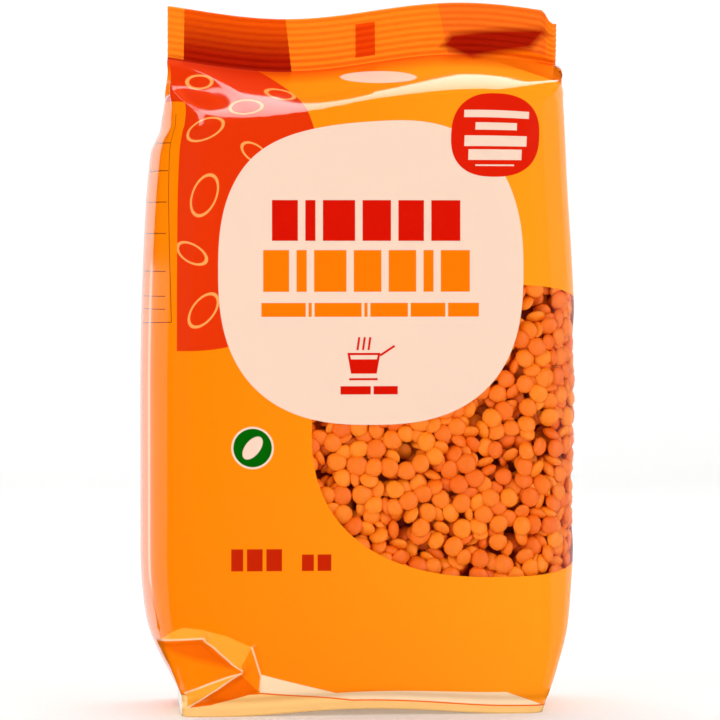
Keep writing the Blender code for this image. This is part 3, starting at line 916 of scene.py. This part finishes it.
def squircle(u, v, shape):
    """The distance from a squircle's outline, about true near it."""
    centre_u, centre_v, half_u, half_v, power = shape
    across = abs((u - centre_u) / half_u) ** power
    up = abs((v - centre_v) / half_v) ** power
    return ((across + up) ** (1.0 / power) - 1.0) * min(half_u, half_v)


def block(u, v, shape):
    """The distance from a rectangle."""
    centre_u, centre_v, half_u, half_v = shape
    return (abs(u - centre_u) - half_u).most(abs(v - centre_v) - half_v)


def oval(u, v, shape):
    """The distance from an oval turned by an angle."""
    centre_u, centre_v, half_u, half_v, turn = shape
    across, up = u - centre_u, v - centre_v
    c, n = math.cos(turn), math.sin(turn)
    along = (across * c + up * n) / half_u
    aside = (up * c - across * n) / half_v
    return ((along * along + aside * aside) ** 0.5 - 1.0) * min(half_u, half_v)


def stroke(u, v, ends, half):
    """The distance from a straight stroke of a half width, with flat ends."""
    (start_u, start_v), (end_u, end_v) = ends
    length = math.hypot(end_u - start_u, end_v - start_v)
    c, n = (end_u - start_u) / length, (end_v - start_v) / length
    along = (u - 0.5 * (start_u + end_u)) * c + (v - 0.5 * (start_v + end_v)) * n
    aside = (v - start_v) * c - (u - start_u) * n
    return (abs(along) - 0.5 * length).most(abs(aside) - half)


def facet(u, v, corners):
    """The distance from a polygon that bulges everywhere: the largest of the distances from
    its sides, whichever way round its corners go."""
    pairs = list(zip(corners, corners[1:] + corners[:1]))
    turned = sum(a[0] * b[1] - a[1] * b[0] for a, b in pairs)
    way = 1.0 if turned > 0 else -1.0
    distance = None
    for (start_u, start_v), (end_u, end_v) in pairs:
        length = math.hypot(end_u - start_u, end_v - start_v) * way
        c, n = (end_u - start_u) / length, (end_v - start_v) / length
        outside = (u - start_u) * n - (v - start_v) * c
        distance = outside if distance is None else distance.most(outside)
    return distance


def slope(u, start, rise):
    """The height of a straight line at u, from a point on it and its rise."""
    return (u - start[0]) * rise + start[1]


def joined(distances):
    """The distance from whichever shape is nearest."""
    distances = list(distances)
    nearest = distances[0]
    for other in distances[1:]:
        nearest = nearest.least(other)
    return nearest


def word_row(u, v, row):
    """The distance from a row of plain blocks that stands for a line of print."""
    left, centre_v, half_v, gap, widths = row
    places = np.cumsum([0.0] + [width + gap for width in widths[:-1]]) + left
    across = joined(abs(u - (at + w / 2)) - w / 2 for at, w in zip(places.tolist(), widths))
    return across.most(abs(v - centre_v) - half_v)


def ruled(u, v, heights, centre_u, half_u, half_v):
    """The distance from level bars of one length, one at each height."""
    return (joined(abs(v - at) for at in heights) - half_v).most(abs(u - centre_u) - half_u)


def ground_colours(finish, v):
    """The film's orange with painted light, yellower to the right, and painted shade under the
    crimp.
    """
    place = finish.add("ShaderNodeTexCoord", {}, (), "Object")
    x = finish.add("ShaderNodeSeparateXYZ", {}, (place,), "X")
    colour = finish.mix(finish.ramp(x, *BODY_LIGHT_SPAN), ORANGE_LEFT, ORANGE_RIGHT_LIT)
    return finish.mix(finish.ramp(v, *SHADED_ROOF), colour, ROOF_SHADE)


def patch_colours(finish, u, v, colour):
    """The red field with its outlined seeds, and the pill on the roof."""
    patch = squircle(u, v, PATCH).most((PATCH_LEFT[0] - u).least(PATCH_LEFT[1] - v))
    seeds = joined(abs(oval(u, v, each)) - MOTIF_HALF_STROKE for each in MOTIFS)
    lines = finish.mix(finish.edge(seeds), RED, LINE_CREAM)
    colour = finish.mix(finish.edge(patch), colour, lines)
    return finish.mix(finish.edge(oval(u, v, PILL)), colour, CREAM)


def crimp_colours(finish, u, v, colour):
    """The crimp's fields: a dark one of overlapping film with painted shade towards its foot, a
    light one with the seam, the fold's field, painted shade over the pocket, and a painted shadow
    line at the crimp's foot.
    """
    crimp = finish.edge(CRIMP_FOOT - v)
    colour = finish.mix(crimp, colour, CRIMP_ORANGE)
    # The dark field is overlapping film, painted darker towards the crimp's foot as shade.
    dark = finish.mix(finish.ramp(v, *CRIMP_SHADE_RISE), CRIMP_DARK_SHADE, CRIMP_DARK_TOP)
    colour = finish.mix(finish.edge(facet(u, v, CRIMP_DARK_FIELD)), colour, dark)
    colour = finish.mix(finish.edge(facet(u, v, CRIMP_RIGHT_FIELD)), colour, CRIMP_RIGHT)
    colour = finish.mix(finish.edge(block(u, v, CRIMP_SEAM)), colour, SEAM)
    # The fold's field: gusset film behind the front, with painted shade.
    colour = finish.mix(finish.edge(facet(u, v, FOLD_SHADE)), colour, FOLD_SHADE_ORANGE)
    # Painted shade over the pocket under the crimp's right end.
    colour = finish.mix(finish.edge(facet(u, v, POCKET), POCKET_SOFT), colour, POCKET_SHADE)
    # Painted shadow along the crease at the crimp's foot, left of the dark field's lower right
    # corner.
    line = (abs(v - CRIMP_FOOT) - CREASE_SHADOW_HALF).most(u - CRIMP_DARK_FIELD[-1][0])
    return finish.mix(finish.edge(line), colour, CRIMP_DARK_SHADE)


def label_colours(finish, u, v, colour):
    """The cream label with its rows of blocks, the pot, the badge, the disc and the weight."""
    label = finish.edge(squircle(u, v, LABEL))
    colour = finish.mix(label, colour, CREAM)
    for row, ink in zip(WORD_ROWS, (WORD_RED, WORD_ORANGE)):
        colour = finish.mix(finish.edge(word_row(u, v, row)), colour, ink)
    colour = finish.mix(finish.edge(word_row(u, v, SMALL_ROW)), colour, WORD_ORANGE)
    pot = joined([
        facet(u, v, POT).most(-facet(u, v, POT_WATER)), word_row(u, v, POT_CAPTION),
        *(stroke(u, v, each, POT_HALF_STROKE) for each in POT_STROKES),
    ])
    colour = finish.mix(finish.edge(pot), colour, WORD_RED)

    colour = finish.mix(finish.edge(squircle(u, v, BADGE)), colour, BADGE_RED)
    rows = joined(block(u, v, each) for each in BADGE_ROWS)
    colour = finish.mix(finish.edge(rows), colour, CREAM)

    disc = oval(u, v, DISC)
    colour = finish.mix(finish.edge(disc), colour, CREAM)
    colour = finish.mix(finish.edge(disc + DISC_RIM), colour, GREEN)
    colour = finish.mix(finish.edge(oval(u, v, DISC_SEED)), colour, CREAM)
    weight = joined(word_row(u, v, row) for row in WEIGHT_ROWS)
    return finish.mix(finish.edge(weight), colour, WEIGHT_RED)


def panel_colours(finish, u, v, colour):
    """The left side's ruled frame and the back's cream panel with thin rules."""
    border = joined(stroke(u, v, each, SIDE_HALF_STROKE) for each in SIDE_FRAME)
    rules = ruled(u, v, SIDE_ROWS, *SIDE_ROWS_SPAN, SIDE_HALF_STROKE)
    colour = finish.mix(finish.edge(border.least(rules)), colour, TABLE_INK)
    colour = finish.mix(finish.edge(squircle(u, v, BACK_PANEL)), colour, CREAM)
    rules = ruled(u, v, BACK_ROWS, BACK_PANEL[0], *BACK_ROW_HALF)
    return finish.mix(finish.edge(rules), colour, WEIGHT_RED)


def foot_colours(finish, u, v, colour):
    """The foot's painted reflection: a pale band over its fold and a strip under it, parted by a
    thin line of painted shade; and the tucked corner's painted light, shade and ridge highlights.
    """
    within = (FOOT_ENDS[0] - u).most(u - FOOT_ENDS[1])
    top = slope(u, *FOOT_BAND_RISE).most(slope(u, *FOOT_BAND_FLAT))
    top = top.least(slope(u, *FOOT_BAND_END))
    line = slope(u, *FOOT_LINE_RISE).most(slope(u, *FOOT_LINE_FLAT)).least(FOOT_LINE_TOP)
    band = (v - top).most(FOOT_BAND_RISE[0][0] - u).most(within)
    # Painted reflection of the floor in the band over the foot's fold.
    colour = finish.mix(finish.edge(band), colour, FOOT_PAINTED_HIGHLIGHT)
    # A thin line of painted shade in the fold, and painted reflection in the strip below it.
    colour = finish.mix(finish.edge(v - line - FOOT_LINE_HALF), colour, TUCK_SHADE)
    colour = finish.mix(finish.edge(v - line + FOOT_LINE_HALF), colour, FOOT_PAINTED_REFLECTION)
    overhang, base = (facet(u, v, each) for each in TUCK_SHADED_FACETS)
    # Painted shade under the upper ridge and on the lowest facet.
    colour = finish.mix(finish.edge(overhang, TUCK_SOFT[0]), colour, TUCK_SHADE)
    colour = finish.mix(finish.edge(base), colour, TUCK_SHADE)
    # Painted light on the facets that face up.
    bright = joined(facet(u, v, each) for each in TUCK_LIT_FACETS)
    colour = finish.mix(finish.edge(bright), colour, TUCK_PAINTED_LIGHT)
    # Painted highlights along the ridges.
    ridges = joined(stroke(u, v, each, TUCK_HALF_STROKE) for each in TUCK_RIDGES)
    return finish.mix(finish.edge(ridges, TUCK_SOFT[1]), colour, FOOT_PAINTED_HIGHLIGHT)


def print_colours(finish, u, v):
    """The print with its painted light and shade, from the ground colour up. Returns its colour and
    the window's mask.
    """
    colour = ground_colours(finish, v)
    colour = patch_colours(finish, u, v, colour)
    colour = crimp_colours(finish, u, v, colour)
    colour = label_colours(finish, u, v, colour)
    colour = panel_colours(finish, u, v, colour)
    colour = foot_colours(finish, u, v, colour)
    window = finish.edge(squircle(u, v, WINDOW).most(u - WINDOW_RIGHT))
    printed_over = finish.edge(squircle(u, v, LABEL).least(squircle(u, v, BADGE)))
    return colour, window * (1.0 - printed_over)


def film_material():
    """Glossy printed film, clear in the window: the print's shader and a nearly clear one,
    mixed by the window's mask."""
    finish = Finish("printed_film")
    place = finish.add("ShaderNodeUVMap", {"uv_map": "film"})
    across = finish.add("ShaderNodeSeparateXYZ", {}, (place,), "X")
    up = finish.add("ShaderNodeSeparateXYZ", {}, (place,), "Y")
    colour, open_here = print_colours(finish, across / MM, up / MM)
    printed = finish.add("ShaderNodeBsdfPrincipled", {}, {
        "Base Color": colour, "Roughness": PRINT_ROUGHNESS, "IOR": FILM_IOR,
    })
    gloss = finish.add("ShaderNodeBsdfPrincipled", {}, {
        "Base Color": (1.0, 1.0, 1.0, 1.0), "Metallic": 1.0, "Roughness": PANE_ROUGHNESS,
    })
    clear = finish.add("ShaderNodeBsdfTransparent", {}, {"Color": (1.0, 1.0, 1.0, 1.0)})
    rim = finish.add("ShaderNodeFresnel", {}, {"IOR": FILM_IOR})
    inner_side = finish.add("ShaderNodeNewGeometry", {}, (), "Backfacing")
    pane = finish.add("ShaderNodeMixShader", {}, (rim * (1.0 - inner_side), clear, gloss))
    return finish.finish(finish.add("ShaderNodeMixShader", {}, (open_here, printed, pane)))


def lentil_material():
    """Dry hulled lentils: orange with a tone of its own for each, finely mottled."""
    finish = Finish("lentil")
    tone = finish.add("ShaderNodeAttribute", {"attribute_name": "tone"}, (), "Fac")
    place = finish.add("ShaderNodeTexCoord", {}, (), "Object")
    mottle = finish.add("ShaderNodeTexNoise", {}, {"Vector": place, **MOTTLE_NOISE})
    ground = finish.mix(tone, *LENTIL_TONES)
    ground = finish.mix(mottle * MOTTLE_SHARE, ground, LENTIL_MOTTLE)
    return finish.finish(finish.add("ShaderNodeBsdfPrincipled", {}, {
        "Base Color": ground, "Roughness": LENTIL_ROUGHNESS, "IOR": LENTIL_IOR,
    }))


def core_material():
    """The depth of the heap, painted dark as the shade between the lentils."""
    finish = Finish("lentil_depth_shade")
    place = finish.add("ShaderNodeTexCoord", {}, (), "Object")
    grain = finish.add("ShaderNodeTexNoise", {}, {"Vector": place, **GRAIN_NOISE})
    ground = finish.mix(grain, *DEPTH_SHADE_TONES)
    return finish.finish(finish.add("ShaderNodeBsdfPrincipled", {}, {
        "Base Color": ground, "Roughness": DEPTH_ROUGHNESS,
    }))


def sweep_material():
    finish = Finish("pale_sweep")
    return finish.finish(finish.add("ShaderNodeBsdfPrincipled", {}, {
        "Base Color": (*SWEEP_WHITE, 1.0), "Roughness": SWEEP_ROUGHNESS,
    }))


def make_sweep():
    """A pale floor that curves up into a backdrop: a flat stretch, a quarter circle and a
    wall, carried sideways."""
    bend = np.linspace(0.0, math.pi / 2, SWEEP_BEND_STEPS + 1)
    y = SWEEP_BACK + SWEEP_RADIUS * np.sin(bend)
    y = np.concatenate([[SWEEP_FRONT], y, [SWEEP_BACK + SWEEP_RADIUS]])
    z = np.concatenate([[0.0], SWEEP_RADIUS * (1.0 - np.cos(bend)), [SWEEP_WALL]])
    x = np.array([-SWEEP_HALF_WIDTH, SWEEP_HALF_WIDTH])
    points = np.stack(np.broadcast_arrays(x[None, :], y[:, None], z[:, None]), -1).reshape(-1, 3)
    sweep = new_piece("sweep", points, quads_of(np.arange(len(points)).reshape(-1, 2)))
    sweep.data.materials.append(sweep_material())
    sweep.visible_glossy = False


def softbox(name, place, aim, turn, width, height, radiance, seen_in_gloss):
    """An area light at place, facing aim and turned about that line, of an even brightness:
    the sweep's white is 1. It either lights what is matt or is only seen in the gloss."""
    light = bpy.data.lights.new(name, "AREA")
    light.shape = "RECTANGLE"
    light.size = width
    light.size_y = height
    light.energy = radiance * math.pi * width * height
    lamp = bpy.data.objects.new(name, light)
    lamp.location = place
    facing = (Vector(aim) - Vector(place)).to_track_quat("-Z", "Y")
    lamp.rotation_euler = (facing @ Quaternion((0.0, 0.0, 1.0), turn)).to_euler()
    lamp.visible_glossy = seen_in_gloss
    lamp.visible_diffuse = not seen_in_gloss
    bpy.context.collection.objects.link(lamp)


def make_light():
    world = bpy.data.worlds.new("studio")
    world.use_nodes = True
    background = world.node_tree.nodes["Background"].inputs
    background["Color"].default_value = (*WORLD_COLOUR, 1.0)
    background["Strength"].default_value = WORLD_STRENGTH
    world.cycles_visibility.glossy = False
    bpy.context.scene.world = world
    for name, box in FILL_BOXES.items():
        softbox(name, *box, seen_in_gloss=False)
    for name, card in GLOSS_CARDS.items():
        softbox(name, *card, seen_in_gloss=True)
    bpy.context.scene.view_settings.view_transform = "Standard"


def dress(piece, material):
    """Gives a piece its material and lets it ride on the body."""
    piece.data.materials.append(material)
    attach(piece, "root")


def main():
    """The bag, the sweep and the light. The film throws no shadow, printed or clear, so that
    light reaches the lentils behind the window from every side."""
    make_camera()
    film = make_film()
    dress(film, film_material())
    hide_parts(NODE)
    film.visible_shadow = False
    lentils = make_lentils()
    dress(lentils, lentil_material())
    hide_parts(NODE)
    core = make_core()
    dress(core, core_material())
    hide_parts(NODE)
    make_sweep()
    make_light()


main()
